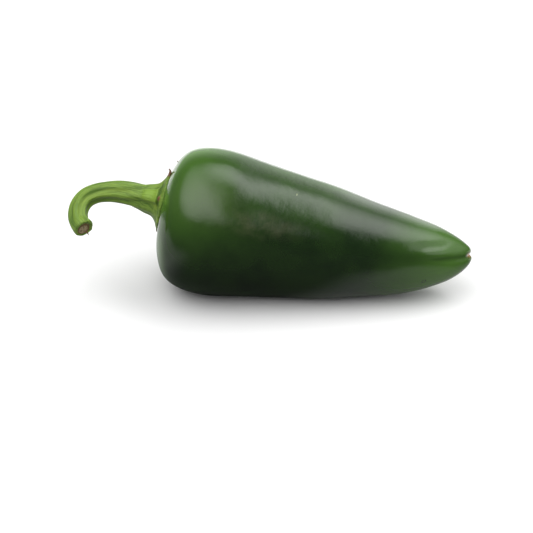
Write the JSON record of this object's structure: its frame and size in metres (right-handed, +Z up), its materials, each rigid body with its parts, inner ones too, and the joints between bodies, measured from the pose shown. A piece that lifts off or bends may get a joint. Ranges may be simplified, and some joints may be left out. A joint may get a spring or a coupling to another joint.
{
  "type": "chilli pepper",
  "caption": "Whole green chilli pepper lying on its side: a smooth, blunt-shouldered pod that tapers to a notched tip, with its calyx and hooked stem.",
  "frame": {"origin": "middle of the small flat spot on the pod's underside that it rests on", "axes": "+X from the calyx towards the tip, +Z up, -Y towards the side with the tip's long crease and the stem's hook"},
  "size_m": [0.1024, 0.0379, 0.0377],
  "materials": {
    "pod_skin": "smooth waxy dark green skin with a soft gloss",
    "stem_rind": "ridged light green stem, satin, with brown dried teeth and cut end"
  },
  "bodies": {
    "root": {"pod": "pod_skin", "stem_and_calyx": "stem_rind"}
  },
  "joints": []
}
